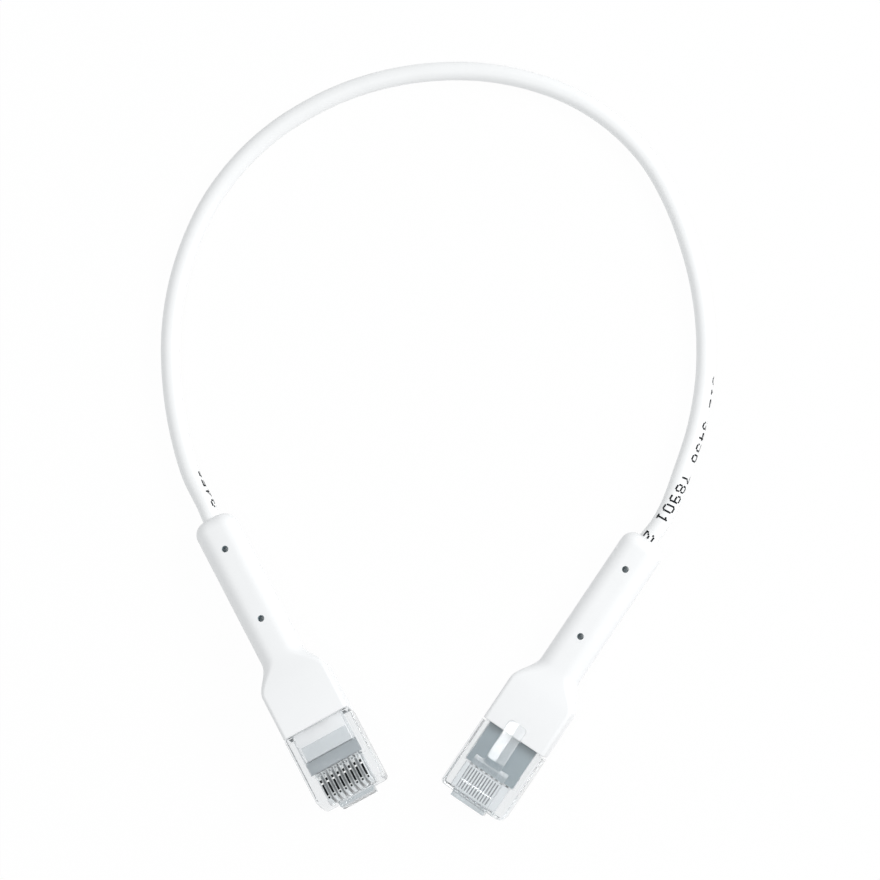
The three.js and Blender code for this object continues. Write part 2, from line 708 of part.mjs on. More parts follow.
// The eight wires, each in one run from its contact in plug a to the same contact in plug b.
function wires() {
  const last = jacketPoints.length - 1;
  const { normals, binormals } = new RingPath(jacketPoints).computeFrenetFrames(last);
  // The angle of a plug's own y axis, seen in the frame of the cord's ring.
  const turnOf = (placed, ring) => {
    const across = inPlug(placed, 0, 1).sub(inPlug(placed, 0));
    return Math.atan2(across.dot(binormals[ring]), across.dot(normals[ring]));
  };
  const startTurn = turnOf(plugA, 0);
  const endTurn = turnOf(plugB, last) + BUNDLE_TURNS * 2 * Math.PI;
  const rowY = rowPlaces();
  return bundlePlaces().map(({ radius, angle }, i) => {
    const fanned = (placed, x) => inPlug(placed, x, rowY[i], WIRE_ROW_Z);
    const bundled = (placed, x, side) =>
      inPlug(placed, x, radius * Math.cos(angle), side * radius * Math.sin(angle));
    const inJacket = jacketPoints.map((point, ring) => {
      const share = THREE.MathUtils.clamp((ring - 1) / (last - 2), 0, 1);
      const turn = THREE.MathUtils.lerp(startTurn, endTurn, share) - angle;
      return point
        .clone()
        .addScaledVector(normals[ring], radius * Math.cos(turn))
        .addScaledVector(binormals[ring], radius * Math.sin(turn));
    });
    const points = [
      fanned(plugA, WIRE_END_X),
      fanned(plugA, FAN_END_X),
      bundled(plugA, FAN_START_X, 1),
      ...inJacket,
      bundled(plugB, FAN_START_X, -1),
      fanned(plugB, FAN_END_X),
      fanned(plugB, WIRE_END_X),
    ];
    return tube(`wire_${i + 1}`, points, polygon(WIRE_DIAMETER / 2, WIRE_SIDES), INSULATION);
  });
}

const cable = new THREE.Group();
cable.name = "ethernet_patch_cable";
cable.add(plugA, plugB, cableJacket(), ...wires());

export default cable;
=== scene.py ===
import json
import math

import bmesh
import bpy
from mathutils import Matrix, Vector


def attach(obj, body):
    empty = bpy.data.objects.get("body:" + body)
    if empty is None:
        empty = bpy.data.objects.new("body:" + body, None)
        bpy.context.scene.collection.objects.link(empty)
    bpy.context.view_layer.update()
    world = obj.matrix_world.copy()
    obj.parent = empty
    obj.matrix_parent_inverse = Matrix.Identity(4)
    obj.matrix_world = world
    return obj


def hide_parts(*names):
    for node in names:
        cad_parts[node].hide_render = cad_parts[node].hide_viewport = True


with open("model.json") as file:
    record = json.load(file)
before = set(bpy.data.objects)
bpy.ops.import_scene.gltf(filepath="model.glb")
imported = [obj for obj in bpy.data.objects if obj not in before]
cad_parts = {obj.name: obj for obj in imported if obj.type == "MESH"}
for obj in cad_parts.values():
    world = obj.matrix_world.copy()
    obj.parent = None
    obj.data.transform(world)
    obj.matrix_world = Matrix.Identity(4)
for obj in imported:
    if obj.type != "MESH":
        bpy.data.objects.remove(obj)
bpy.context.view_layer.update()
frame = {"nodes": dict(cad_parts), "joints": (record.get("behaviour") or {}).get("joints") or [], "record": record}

# The looks of a slim white ethernet patch cable: two clear plugs in white overmoulded boots on one thin cord.
# Lengths are millimetres until a mesh is placed; a finished piece is in metres, in the frame's own axes.
# A plug's own axes: x from its body's rear face towards its nose, y across it, z out of its contact side.
MM = 0.001
ENDS = ("a", "b")

# ---- Sizes ----

NOSE_MOUNT = (12.95, 0, -2.3)

BODY_LENGTH = 12.2
BODY_HALF_WIDTH = 5.84
BODY_HALF_HEIGHT = 3.3
BODY_EDGE = 0.35
FRONT_CORNER = 0.8
FRONT_BEVEL_LENGTH = 0.45
FRONT_BEVEL_START = 1.0
CAVITY = ((-8.4, 6.9), (-4.6, 4.6), (-2.4, 1.9))
TANG = ((-7.4, 0.5), (-5.1, 5.1), (-2.9, 2.4))
WIRE_CHANNEL = ((5.9, 11.6), (-4.23, 4.23), (-2.4, -0.3))
WINDOW = ((-0.9, 4.75), (-4.3, 4.3), (1.75, 4.3))
SLOT = ((7.2, 11.6), 0.5, (-0.45, 4.3))
NOSE = ((11.6, 12.95), 3.1, (-3.3, -1.3))
NOSE_CORNER = 0.35
# The nose's rounded edges: each depth from its top or bottom face, and how far it is drawn in there.
NOSE_EDGE = [(0, 0.15), (0.06, 0.04), (0.16, 0)]
TONGUE = [(5.05, 2.25), (5.05, 2.85), (2.15, 2.5), (2.15, 1.9)]
TONGUE_HALF_WIDTH = 4
SIDE_GROOVES = ((-1, 11.2), 0.12, (-3.4, -3.22))
SIDE_GROOVE_PLACES = (-5.3, -4.95, 4.95, 5.3)

LOAD_BAR = ((7.05, 11.45), (-4.08, 4.08), (-2.25, -0.45))
WIRE_GROOVE = ((6, 11.2), 0.62, (-1.1, 0))
RELIEF_RUNS = ((7.3, 9.58), (9.84, 11.2))
RELIEF_PITCH = 0.51
RELIEF_COUNT = 12
RELIEF_WIDTH = 0.21
RELIEF_DEPTH = 0.6

BOOT_LENGTH = 38.5
BOOT_FRONT_GAP = 0.3
BOOT_HEAD_LENGTH = 7.9
BOOT_HEAD_WIDTH = 11.6
BOOT_HEAD_HEIGHT = 6.8
BOOT_HEAD_CORNER = 0.7
BOOT_FRONT_ROUND = 0.18
BOOT_FLARE_LENGTH = 5.4
BOOT_NECK_WIDTH = 7.2
BOOT_NECK_HEIGHT = 6.4
BOOT_NECK_CORNER = 2.6
BOOT_END_ROUND = 2.2
PIN_HOLE_DIAMETER = 1.1
PIN_HOLE_PLACES = (-19.6, -32.5)
PIN_HOLE_SIDES = 24
CORD_HOLE_DIAMETER = 3.1
TANG_POCKET = ((-7.7, 1), (-5.25, 5.25), (-3.05, 2.55))
FLANGE_POCKET = ((-10.75, 3.15), (-7.55, 4.6), 2.25)
# How far a cutter runs past the face that it opens, so that no two faces lie in one plane.
CUT_PAST = 1

CARRIER_EDGE = 0.06
MOULD_EDGE = 0.12
# In a mesh from the frame, points closer than this, in metres, are joined. In degrees: edges flatter than the
# first angle are dissolved, and edges sharper than the second are rounded.
MERGE_DISTANCE = 1e-7
FLAT_ANGLE = 0.5
EDGE_ANGLE = 25

LATCH_SLOPE = 2.3 / 15.4
LATCH_TOP = -3.6
LATCH_END = 12.85
LATCH_SHOULDER = 5.15
LATCH_TIP = -2.55
LEVER_KINK = 4.45
LATCH_ROOT_WIDTH = 6.2
# The root's thickness along x: the catches' edge, then a taper with one fine rib that catches the light.
ROOT_PROFILE = [
    (LATCH_SHOULDER, 1.05), (5.8, 1.46), (9.6, 1.21), (9.62, 1.25),
    (9.92, 1.254), (9.94, 1.19), (11.6, 1.08), (LATCH_END, 1.0),
]
# The radius of the latch's round edges, and how close beside them its sides have points.
LATCH_EDGE = 0.14
LATCH_EDGE_SUPPORT = 0.04
LEVER_WIDTH = 3.3
LEVER_THICKNESS = 0.9
LEVER_CROWN = 0.06
LEVER_TIP_CORNER = 0.6
# The facet that thickens the lever: each distance past its kink, and the thickness there.
LEVER_FACET = [(1.5, 1.45), (2, 1.3)]

CONTACT_COUNT = 8
CONTACT_PITCH = 1.02
CROWN_START_HEIGHT = 0.8
CROWN_SIDE_LIMIT = 0.5
# Along x, the runs where a blade's crown is painted dark: painted shade at its two ends, a painted dark reflection
# along its middle.
CROWN_PAINTED_RUNS = ((8.2, 8.7), (9, 10.9), (11.05, 11.35))
BLADE_WIDENING = 1.2

CORD_DIAMETER = 3
CORD_SIDES = 32
CORD_INSERT = 2.5
JACKET_END = -1.3
JACKET_END_GAP = 0.05
ROUTE_STEPS = 6

# Rounding draws a wire's section in, so it is swelled by this much first. Its triangles are joined across
# flatter edges, and sharper ones, at its ends, stay sharp, in degrees.
WIRE_SWELL = 0.075
WIRE_JOIN_ANGLE = 30
WIRE_CREASE_ANGLE = 80

PRINT_DOT = 0.36
PRINT_DOT_SIDES = 8
PRINT_DOT_PITCH = (0.26, 0.27)
PRINT_CHARACTER_PITCH = 1.82
PRINT_HEIGHT = 0.012

# The free cord between the boots, in the same given points as the frame's own cord.
ROUTE = [
    (-36.5, 26.7, 2.9), (-38.8, 31.2, 2.3), (-41, 38.6, 1.7), (-42.2, 46.4, 1.5),
    (-42.4, 54.1, 1.5), (-41.4, 61.7, 1.5), (-39.2, 69, 1.5), (-35.9, 75.8, 1.5),
    (-31.4, 81.8, 1.5), (-25.9, 86.9, 1.5), (-19.6, 90.9, 1.5), (-12.8, 93.9, 1.5),
    (-5.6, 95.8, 1.5), (1.8, 96.6, 1.5), (9.3, 96.3, 1.5), (16.8, 94.7, 1.5),
    (23.9, 91.8, 1.5), (30.3, 87.4, 1.5), (35.6, 81.7, 1.5), (39.4, 75, 1.5),
    (42.1, 67.8, 1.5), (43.9, 60.5, 1.5), (44.7, 53.1, 1.5), (44.5, 45.6, 1.5),
    (43.2, 38.1, 1.7), (40.9, 30.8, 2.4), (39.1, 25.8, 3), (37.35, 22.5, 3.3),
]

# Camera, in metres: what the picture's middle looks at, and the lens that frames the cable as the
# photograph does.
CAMERA_TARGET = (0.00154, 0.03673, 0)
CAMERA_TILT = math.radians(8)
CAMERA_LEAN = (0.823, -0.568)
CAMERA_DISTANCE = 1.0
CAMERA_LENS = 252.9
CAMERA_SENSOR = 36
CAMERA_CLIP = (0.01, 10)

# Light and floor, in metres and watts. Each lamp: its name, its direction from the cable, and its distance,
# width and power.
LAMPS = [
    ("key_right", (0.8, 0.25, 0.62), 0.9, 0.5, 4.6),
    ("top_left", (-0.295, -0.2, 0.934), 0.9, 0.153, 1.1),
]
LAMP_TARGET = (0, 0.03, 0)
WORLD_LEVEL = 0.57
WORLD_TINT = (0.97, 0.99, 1)
FLOOR_HALF = 1.5
FLOOR_DROP = 0.00005
FLOOR_GREY = 0.9
FLOOR_GLOW = 0.97

# Plain digits in dots, seven rows from the top of each.
DIGITS = {
    "0": "01110 10001 10001 10001 10001 10001 01110",
    "1": "00100 01100 00100 00100 00100 00100 01110",
    "2": "01110 10001 00001 00110 01000 10000 11111",
    "3": "01110 10001 00001 00110 00001 10001 01110",
    "4": "00010 00110 01010 10010 11111 00010 00010",
    "5": "11111 10000 11110 00001 00001 10001 01110",
    "6": "01110 10000 11110 10001 10001 10001 01110",
    "7": "11111 00001 00010 00100 00100 00100 00100",
    "8": "01110 10001 10001 01110 10001 10001 01110",
    "9": "01110 10001 10001 01111 00001 00001 01110",
}
MIDDLE_COLUMN, MIDDLE_ROW = 2, 3
# Each run: its digits, which read from boot a to boot b; the distance of its first digit from the mouth of
# boot a or, below 0, of boot b; and the turn about the cord, from its top to the outside of the loop, at
# distances so given.
PRINT_RUNS = [
    ("3456", 2.3, [(2.3, -82), (4.1, -84), (5.9, -92), (7.7, -100)]),
    (
        "012 3456 78901 2",
        -27.7,
        [
            (-27.5, 102), (-23.6, 100), (-20, 76), (-16.5, 75), (-14.7, 68), (-11.2, 52),
            (-9.3, 34), (-7.5, 22), (-6, 8), (-4, -4), (-0.4, -2),
        ],
    ),
]


# ---- Placing ----

def plug_frame(end):
    """The matrix from a plug's own millimetres to the frame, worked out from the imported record."""
    nose = next(m for m in frame["record"]["mounts"] if m["name"] == f"plug_{end}_nose")
    hinge = next(j for j in frame["joints"] if j["name"] == f"latch_{end}_press")
    x_axis = Vector(nose["axis"]).normalized()
    y_axis = Vector(hinge["axis"]).normalized()
    turn = Matrix((x_axis, y_axis, x_axis.cross(y_axis))).transposed()
    origin = Vector(nose["pos_m"]) - turn @ (Vector(NOSE_MOUNT) * MM)
    return Matrix.Translation(origin) @ turn.to_4x4() @ Matrix.Scale(MM, 4)


PLUGS = {end: plug_frame(end) for end in ENDS}


def new_object(name, data):
    """A new object in the scene that holds the given mesh, curve, lamp or camera."""
    made = bpy.data.objects.new(name, data)
    bpy.context.scene.collection.objects.link(made)
    return made


def object_of(name, bm, *materials):
    """A new object with a mesh from a bmesh, which is freed, and its materials."""
    mesh = bpy.data.meshes.new(name)
    bm.to_mesh(mesh)
    bm.free()
    for material in materials:
        mesh.materials.append(material)
    return new_object(name, mesh)


def baked(source, name):
    """The evaluated mesh of an object as a plain new object; the source is removed."""
    bpy.context.view_layer.update()
    graph = bpy.context.evaluated_depsgraph_get()
    mesh = bpy.data.meshes.new_from_object(source.evaluated_get(graph))
    mesh.name = name
    old = source.data
    bpy.data.objects.remove(source)
    if isinstance(old, bpy.types.Mesh):
        bpy.data.meshes.remove(old)
    else:
        bpy.data.curves.remove(old)
    return new_object(name, mesh)


def finish_piece(piece, smooth_angle=30, material=None):
    """Shades a piece smooth up to an angle in degrees, and gives it one material unless it has its own."""
    mesh = piece.data
    if material is not None:
        mesh.materials.clear()
        mesh.materials.append(material)
    mesh.shade_smooth()
    mesh.set_sharp_from_angle(angle=math.radians(smooth_angle))
    return piece


def place_in_plug(piece, end):
    """Keeps a piece's own millimetres in the attribute plug_mm, then places its mesh in the frame."""
    mesh = piece.data
    spots = [x for v in mesh.vertices for x in v.co]
    kept = mesh.attributes.new("plug_mm", "FLOAT_VECTOR", "POINT")
    kept.data.foreach_set("vector", spots)
    mesh.transform(PLUGS[end])
    mesh.update()


def keep(piece, body, slot_name, *nodes):
    """Lets a piece ride on its body and hides the frame nodes that it stands for; its slot name is not used."""
    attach(piece, body)
    if nodes:
        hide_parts(*nodes)
    return piece


def fitted(piece, end, body, slot_name, *nodes, **finish):
    """Finishes, places and keeps a piece that is made in a plug's own millimetres."""
    finish_piece(piece, **finish)
    place_in_plug(piece, end)
    return keep(piece, body, slot_name, *nodes)


# ---- Node trees ----

def feed(tree, socket, value):
    """Links an input to the output that it reads, or sets it to a plain value."""
    if isinstance(value, bpy.types.NodeSocket):
        tree.links.new(value, socket)
    else:
        socket.default_value = value


def add_node(tree, kind, **values):
    """A new node. A name in small letters is one of its settings, any other an input that is fed."""
    node = tree.nodes.new(kind)
    for name, value in values.items():
        if name.islower():
            setattr(node, name, value)
        else:
            feed(tree, node.inputs[name.replace("_", " ")], value)
    return node


def maths(tree, operation, *values, kind="ShaderNodeMath"):
    """The output of a Math node whose inputs are fed in their order."""
    node = add_node(tree, kind, operation=operation)
    for socket, value in zip(node.inputs, values):
        feed(tree, socket, value)
    return node.outputs[0]


def new_tree(kind, name, inputs, outputs):
    """An empty node tree with named inputs and outputs, and its two end nodes."""
    tree = bpy.data.node_groups.new(name, kind)
    for socket_name, socket_type, default in inputs:
        socket = tree.interface.new_socket(socket_name, in_out="INPUT", socket_type=socket_type)
        if default is not None:
            socket.default_value = default
    for socket_name, socket_type in outputs:
        tree.interface.new_socket(socket_name, in_out="OUTPUT", socket_type=socket_type)
    return tree, tree.nodes.new("NodeGroupInput"), tree.nodes.new("NodeGroupOutput")


def mix_on_surface(tree, share, first, second, out):
    """Ends a tree with two shaders mixed: the first where the share is 0, and the second where it is 1."""
    mix = add_node(tree, "ShaderNodeMixShader", Fac=share)
    feed(tree, mix.inputs[1], first.outputs[0])
    feed(tree, mix.inputs[2], second.outputs[0])
    feed(tree, out.inputs["Surface"], mix.outputs[0])


# ---- Shader group and materials ----

# In linear light. Clear plastic has one grey tint, partly its own and partly painted shade, and one for light that
# passes to the pieces inside.
CLEAR_TINT = (0.89, 0.905, 0.915)
CLEAR_THROUGH = (0.975, 0.98, 0.983)
SLATE_DARK = (0.305, 0.37, 0.4)
SLATE_PALE = (0.375, 0.415, 0.44)
# The painted dark of the blade crowns, for shade and a dark reflection.
CROWN_PAINTED_DARK = (0.004, 0.006, 0.007)
# Between these heights in its plug the grey insert is pale; a painted edge fades over this much to each side.
SLATE_PALE_HEIGHTS = (-0.6, 3)
SOFT_EDGE = 0.04


def build_moulded_group():
    """Moulded plastic: a faint cloudy tone, a fine grain in height, and roughness that varies with it."""
    group, entry, out = new_tree(
        "ShaderNodeTree",
        "moulded_plastic_skin",
        [
            ("Vector", "NodeSocketVector", None),
            ("Colour", "NodeSocketColor", (0.9, 0.9, 0.9, 1)),
            ("Cloud Scale", "NodeSocketFloat", 160),
            ("Cloud Depth", "NodeSocketFloat", 0.03),
            ("Grain Scale", "NodeSocketFloat", 9000),
            ("Roughness", "NodeSocketFloat", 0.45),
            ("Roughness Spread", "NodeSocketFloat", 0.08),
        ],
        [("Colour", "NodeSocketColor"), ("Roughness", "NodeSocketFloat"), ("Height", "NodeSocketFloat")],
    )
    given = entry.outputs
    clouds, grain = [
        add_node(group, "ShaderNodeTexNoise", Vector=given["Vector"], Scale=given[scale], Detail=detail)
        for scale, detail in (("Cloud Scale", 3), ("Grain Scale", 2))
    ]
    darker = maths(group, "MULTIPLY", clouds.outputs["Fac"], given["Cloud Depth"])
    shade = maths(group, "SUBTRACT", 1, darker)
    tint = add_node(group, "ShaderNodeVectorMath", operation="SCALE", Vector=given["Colour"], Scale=shade)
    spread, base = given["Roughness Spread"], given["Roughness"]
    feed(group, out.inputs["Colour"], tint.outputs[0])
    feed(group, out.inputs["Roughness"], maths(group, "MULTIPLY_ADD", grain.outputs["Fac"], spread, base))
    feed(group, out.inputs["Height"], grain.outputs["Fac"])
    return group


MOULDED = build_moulded_group()


def new_material(name):
    """A new node material, its tree and its Principled shader."""
    material = bpy.data.materials.new(name)
    material.use_nodes = True
    tree = material.node_tree
    shader = tree.nodes["Principled BSDF"]
    return material, tree, shader


def add_skin(tree, shader, vector, colour, **values):
    """Gives a shader the moulded skin, whose pattern reads a vector socket."""
    skin = add_node(
        tree, "ShaderNodeGroup", node_tree=MOULDED, Vector=vector, Colour=(*colour, 1), **values,
    )
    feed(tree, shader.inputs["Base Color"], skin.outputs["Colour"])
    feed(tree, shader.inputs["Roughness"], skin.outputs["Roughness"])
    return skin


def moulded_material(name, colour, bump=0.000004, coordinates=None, **values):
    """A plastic with the moulded skin and its grain raised, in metres. The pattern reads Object coordinates,
    or an attribute named here."""
    material, tree, shader = new_material(name)
    if coordinates:
        vector = add_node(tree, "ShaderNodeAttribute", attribute_name=coordinates).outputs["Vector"]
    else:
        vector = tree.nodes.new("ShaderNodeTexCoord").outputs["Object"]
    skin = add_skin(tree, shader, vector, colour, **values)
    grain = add_node(tree, "ShaderNodeBump", Distance=bump, Strength=1, Height=skin.outputs["Height"])
    feed(tree, shader.inputs["Normal"], grain.outputs["Normal"])
    return material, tree, shader, skin


def clear_material(
    name, colour=CLEAR_TINT, through_colour=CLEAR_THROUGH, bend=1.33, clearness=0.93, roughness=0.05,
):
    """Clear polycarbonate: it bends what is behind it, and lets lamps and scattered light through to the
    pieces inside."""
    material, tree, shader = new_material(name)
    shader.inputs["IOR"].default_value = bend
    shader.inputs["Transmission Weight"].default_value = clearness
    add_skin(
        tree, shader, tree.nodes.new("ShaderNodeTexCoord").outputs["Object"], colour, Cloud_Scale=500,
        Cloud_Depth=0.04, Grain_Scale=2500, Roughness=roughness, Roughness_Spread=0.06,
    )
    through = add_node(tree, "ShaderNodeBsdfTransparent", Color=(*through_colour, 1))
    path = tree.nodes.new("ShaderNodeLightPath").outputs
    either = maths(tree, "MAXIMUM", path["Is Shadow Ray"], path["Is Diffuse Ray"])
    mix_on_surface(tree, either, shader, through, tree.nodes["Material Output"])
    return material


def where_attribute(tree, axis, low, high):
    """1 where the attribute plug_mm lies between two values on an axis, with a short soft edge."""
    place = add_node(tree, "ShaderNodeAttribute", attribute_name="plug_mm")
    split = add_node(tree, "ShaderNodeSeparateXYZ", Vector=place.outputs["Vector"])
    edges = []
    for start, end in ((low - SOFT_EDGE, low + SOFT_EDGE), (high + SOFT_EDGE, high - SOFT_EDGE)):
        edge = add_node(tree, "ShaderNodeMapRange", Value=split.outputs[axis], From_Min=start, From_Max=end)
        edges.append(edge.outputs["Result"])
    return maths(tree, "MULTIPLY", *edges)


def add_second_colour(tree, skin, colour, mask):
    """Mixes a second colour into a skin's own where the mask is 1."""
    own = skin.inputs["Colour"]
    mix = add_node(tree, "ShaderNodeMix", data_type="RGBA", A=own.default_value, B=(*colour, 1), Factor=mask)
    feed(tree, own, mix.outputs["Result"])


def slate_material():
    """A grey insert, paler between two heights in its plug and darker outside them, on its latch side."""
    material, tree, _, skin = moulded_material("slate_insert", SLATE_DARK, Roughness=0.38, Cloud_Depth=0.15)
    add_second_colour(tree, skin, SLATE_PALE, where_attribute(tree, "Z", *SLATE_PALE_HEIGHTS))
    return material


def contact_material():
    """Plated blades: pale flanks, and a crown painted dark along its middle and at both ends, a painted dark
    reflection along the middle and painted shade at the ends.
    """
    material, tree, shader, skin = moulded_material("contact_blade", (0.93, 0.935, 0.93), Roughness=0.3)
    shader.inputs["Metallic"].default_value = 0.35
    shader.inputs["Specular IOR Level"].default_value = 0.2
    crown = add_node(tree, "ShaderNodeAttribute", attribute_name="crown").outputs["Fac"]
    dark = 0
    for run in CROWN_PAINTED_RUNS:
        dark = maths(tree, "MAXIMUM", dark, where_attribute(tree, "X", *run))
    add_second_colour(tree, skin, CROWN_PAINTED_DARK, maths(tree, "MULTIPLY", crown, dark))
    return material


def ink_material():
    """Dull black ink."""
    material, _, shader, _ = moulded_material("print_ink", (0.006, 0.008, 0.01), Roughness=0.6)
    shader.inputs["Specular IOR Level"].default_value = 0.15
    return material


BOOT_WHITE = moulded_material("boot_white_vinyl", (0.915, 0.92, 0.925), Roughness=0.45)[0]
JACKET_WHITE = moulded_material(
    "jacket_white_vinyl", (0.92, 0.925, 0.928), coordinates="cord_place", bump=0.000005,
    Cloud_Scale=0.4, Grain_Scale=6, Roughness=0.42,
)[0]
MOULD_WHITE = moulded_material("inner_mould_white", (0.84, 0.85, 0.86), Roughness=0.5)[0]
SLATE = slate_material()
COMB_WHITE = moulded_material("pale_comb", (0.88, 0.89, 0.9), Roughness=0.3)[0]
# Painted shade: the dark of the faces between the comb's fine ribs.
COMB_PAINTED_SHADE = moulded_material("pale_comb_grooves", (0.13, 0.145, 0.155), Roughness=0.4)[0]
INSULATION = moulded_material("wire_insulation", (0.9, 0.91, 0.92), Roughness=0.5)[0]
CONTACT_METAL = contact_material()
# Painted shade: the darker walls of the boots' pin holes.
HOLE_PAINTED_SHADE = moulded_material("pin_hole_wall", (0.45, 0.53, 0.56), Roughness=0.7)[0]
INK = ink_material()
CLEAR = clear_material("clear_polycarbonate")
CLEAR_LEVER = clear_material("clear_polycarbonate_lever", bend=1.4, clearness=0.84)
CLEAR_SLOT = clear_material(
    "clear_polycarbonate_slots", (0.94, 0.975, 0.99), (0.995, 0.995, 0.995), clearness=0.15, roughness=0.3,
)
CLEAR_CATCH = clear_material("clear_polycarbonate_catches", clearness=0.75, roughness=0.2)
# A darker copy of the clear plastic: painted shade on the housing's nose, the lever past its kink and the latch
# root over the nose.
CLEAR_PAINTED_SHADE = clear_material("clear_polycarbonate_thick", (0.74, 0.77, 0.785), (0.92, 0.935, 0.94))
# Halfway between the plain clear tints and the darker copy above: painted shade at half strength, on the tongue.
CLEAR_TONGUE = clear_material("clear_polycarbonate_tongue", (0.815, 0.8375, 0.85), (0.9475, 0.9575, 0.9615))


# ---- Geometry-node trees ----

def geometry_tree(name, *inputs):
    """An empty Geometry Nodes tree: geometry in and out, the inputs given, and a material."""
    geometry = ("Geometry", "NodeSocketGeometry")
    material = ("Material", "NodeSocketMaterial", None)
    return new_tree("GeometryNodeTree", name, [(*geometry, None), *inputs, material], [geometry])


def finish_tree(tree, entry, out, geometry):
    """Ends a tree as every tree here ends: instances made real, and the named material set."""
    real = add_node(tree, "GeometryNodeRealizeInstances", Geometry=geometry).outputs["Geometry"]
    paint = add_node(tree, "GeometryNodeSetMaterial", Geometry=real, Material=entry.outputs["Material"])
    feed(tree, out.inputs["Geometry"], paint.outputs["Geometry"])
    return tree


def captured(tree, geometry, kind, name, value):
    """Geometry that carries a value of each of its points along, and that value."""
    node = tree.nodes.new("GeometryNodeCaptureAttribute")
    node.capture_items.new(kind, name)
    feed(tree, node.inputs["Geometry"], geometry)
    feed(tree, node.inputs[name], value)
    return node.outputs["Geometry"], node.outputs[name]


def run_tree(source, tree, name, **values):
    """Puts the tree on an object with its named inputs, and bakes the result as a plain mesh."""
    modifier = source.modifiers.new("tree", "NODES")
    modifier.node_group = tree
    for item in tree.interface.items_tree:
        key = item.name.replace(" ", "_")
        if item.item_type == "SOCKET" and item.in_out == "INPUT" and key in values:
            modifier[item.identifier] = values[key]
    return baked(source, name)


def build_cord_tree():
    """A round tube on a curve. cord_place keeps each point's place round and along the tube, in mm."""
    tree, entry, out = geometry_tree(
        "round_cord",
        ("Diameter", "NodeSocketFloat", CORD_DIAMETER * MM),
        ("Sides", "NodeSocketInt", CORD_SIDES),
    )
    radius = maths(tree, "MULTIPLY", entry.outputs["Diameter"], 0.5)
    circle = add_node(
        tree, "GeometryNodeCurvePrimitiveCircle", Resolution=entry.outputs["Sides"], Radius=radius,
    )
    spot = tree.nodes.new("GeometryNodeInputPosition").outputs["Position"]
    length = tree.nodes.new("GeometryNodeSplineParameter").outputs["Length"]
    section, round_place = captured(tree, circle.outputs["Curve"], "VECTOR", "Round", spot)
    line, along = captured(tree, entry.outputs["Geometry"], "FLOAT", "Along", length)
    tube = add_node(tree, "GeometryNodeCurveToMesh", Curve=line, Profile_Curve=section, Fill_Caps=True)
    along_place = add_node(tree, "ShaderNodeCombineXYZ", Z=along).outputs[0]
    place = maths(tree, "ADD", round_place, along_place, kind="ShaderNodeVectorMath")
    in_mm = add_node(tree, "ShaderNodeVectorMath", operation="SCALE", Vector=place, Scale=1 / MM)
    store = add_node(
        tree, "GeometryNodeStoreNamedAttribute", data_type="FLOAT_VECTOR", domain="POINT",
        Geometry=tube.outputs["Mesh"], Name="cord_place", Value=in_mm.outputs[0],
    )
    return finish_tree(tree, entry, out, store.outputs["Geometry"])


def build_dots_tree():
    """A low round dot on each point of a mesh, turned to the direction kept in the attribute facing."""
    tree, entry, out = geometry_tree(
        "printed_dots",
        ("Diameter", "NodeSocketFloat", PRINT_DOT * MM),
        ("Height", "NodeSocketFloat", PRINT_HEIGHT * MM),
    )
    radius = maths(tree, "MULTIPLY", entry.outputs["Diameter"], 0.5)
    dot = add_node(
        tree, "GeometryNodeMeshCylinder", Vertices=PRINT_DOT_SIDES, Radius=radius,
        Depth=entry.outputs["Height"],
    )
    facing = add_node(tree, "GeometryNodeInputNamedAttribute", data_type="FLOAT_VECTOR", Name="facing")
    turn = add_node(tree, "FunctionNodeAlignRotationToVector", axis="Z", Vector=facing.outputs["Attribute"])
    points = add_node(tree, "GeometryNodeMeshToPoints", Mesh=entry.outputs["Geometry"])
    stamp = add_node(
        tree, "GeometryNodeInstanceOnPoints", Points=points.outputs["Points"],
        Instance=dot.outputs["Mesh"], Rotation=turn.outputs["Rotation"],
    )
    return finish_tree(tree, entry, out, stamp.outputs["Instances"])


def build_row_tree():
    """Equal copies of the incoming mesh side by side along y, centred."""
    tree, entry, out = geometry_tree(
        "row_across",
        ("Count", "NodeSocketInt", CONTACT_COUNT),
        ("Pitch", "NodeSocketFloat", CONTACT_PITCH),
    )
    count, pitch = entry.outputs["Count"], entry.outputs["Pitch"]
    reach = maths(tree, "MULTIPLY", maths(tree, "SUBTRACT", count, 1), pitch)
    start = add_node(tree, "ShaderNodeCombineXYZ", Y=maths(tree, "MULTIPLY", reach, -0.5)).outputs[0]
    step = add_node(tree, "ShaderNodeCombineXYZ", Y=pitch).outputs[0]
    line = add_node(tree, "GeometryNodeMeshLine", Count=count, Start_Location=start, Offset=step)
    copies = add_node(
        tree, "GeometryNodeInstanceOnPoints", Points=line.outputs["Mesh"], Instance=entry.outputs["Geometry"],
    )
    return finish_tree(tree, entry, out, copies.outputs["Instances"])


CORD_TREE = build_cord_tree()
DOTS_TREE = build_dots_tree()
ROW_TREE = build_row_tree()


# ---- The cord ----

def smooth_line(points, steps):
    """A centripetal Catmull-Rom line through the points, with equal steps in each span."""
    ends = [2 * points[0] - points[1], *points, 2 * points[-1] - points[-2]]
    line = []
    for p0, p1, p2, p3 in zip(ends, ends[1:], ends[2:], ends[3:]):
        t1 = math.sqrt((p1 - p0).length)
        t2 = t1 + math.sqrt((p2 - p1).length)
        t3 = t2 + math.sqrt((p3 - p2).length)
        for step in range(steps):
            t = t1 + (t2 - t1) * step / steps
            a1 = p0.lerp(p1, t / t1)
            a2 = p1.lerp(p2, (t - t1) / (t2 - t1))
            a3 = p2.lerp(p3, (t - t2) / (t3 - t2))
            b1 = a1.lerp(a2, t / t2)
            b2 = a2.lerp(a3, (t - t1) / (t3 - t1))
            line.append(b1.lerp(b2, (t - t1) / (t2 - t1)))
    return [*line, points[-1]]


def line_length(line):
    """The length of a line through points."""
    return sum((q - p).length for p, q in zip(line, line[1:]))


